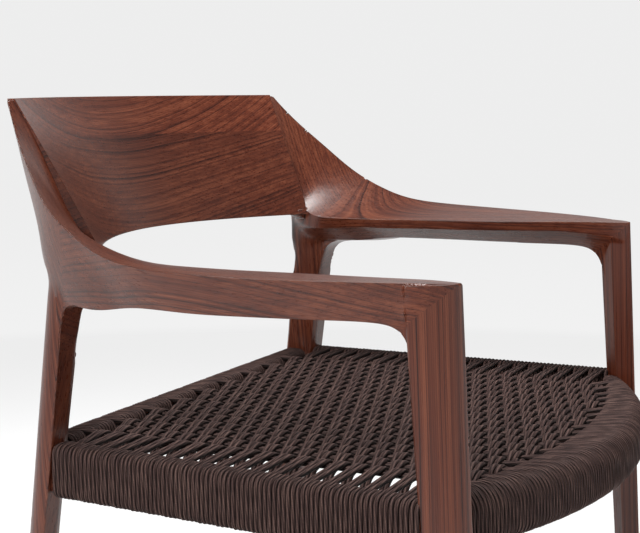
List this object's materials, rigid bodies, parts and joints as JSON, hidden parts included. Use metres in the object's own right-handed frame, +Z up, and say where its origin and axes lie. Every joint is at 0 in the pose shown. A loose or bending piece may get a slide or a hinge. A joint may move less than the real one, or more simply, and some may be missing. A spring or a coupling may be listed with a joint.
{
  "type": "wooden armchair",
  "caption": "Walnut armchair: swept arms flow into wings beside a raked, curved back; tapered legs; broad woven cord seat with a bowed front; free-standing and rigid.",
  "frame": {"origin": "on the floor, below the middle of the chair's overall width and depth", "axes": "+Z up, the sitter faces -Y, the sitter's left hand is on +X"},
  "size_m": [0.6724, 0.5685, 0.7645],
  "materials": {
    "walnut": "satin oiled dark reddish walnut",
    "cord": "matt dark brown twisted cord with lighter fibres",
    "dowel": "raw beech, hidden in the joints",
    "glide": "dark nylon"
  },
  "bodies": {
    "root": {"back_board_upper": "walnut", "back_board_lower": "walnut", "back_leg_left": "walnut", "back_leg_right": "walnut", "arm_left": "walnut", "arm_right": "walnut", "front_leg_left": "walnut", "front_leg_right": "walnut", "side_rail_left": "walnut", "side_rail_right": "walnut", "front_rail": "walnut", "back_rail": "walnut", "woven_seat": "cord", "joint_dowels": "dowel", "foot_glides": "glide"}
  },
  "joints": []
}
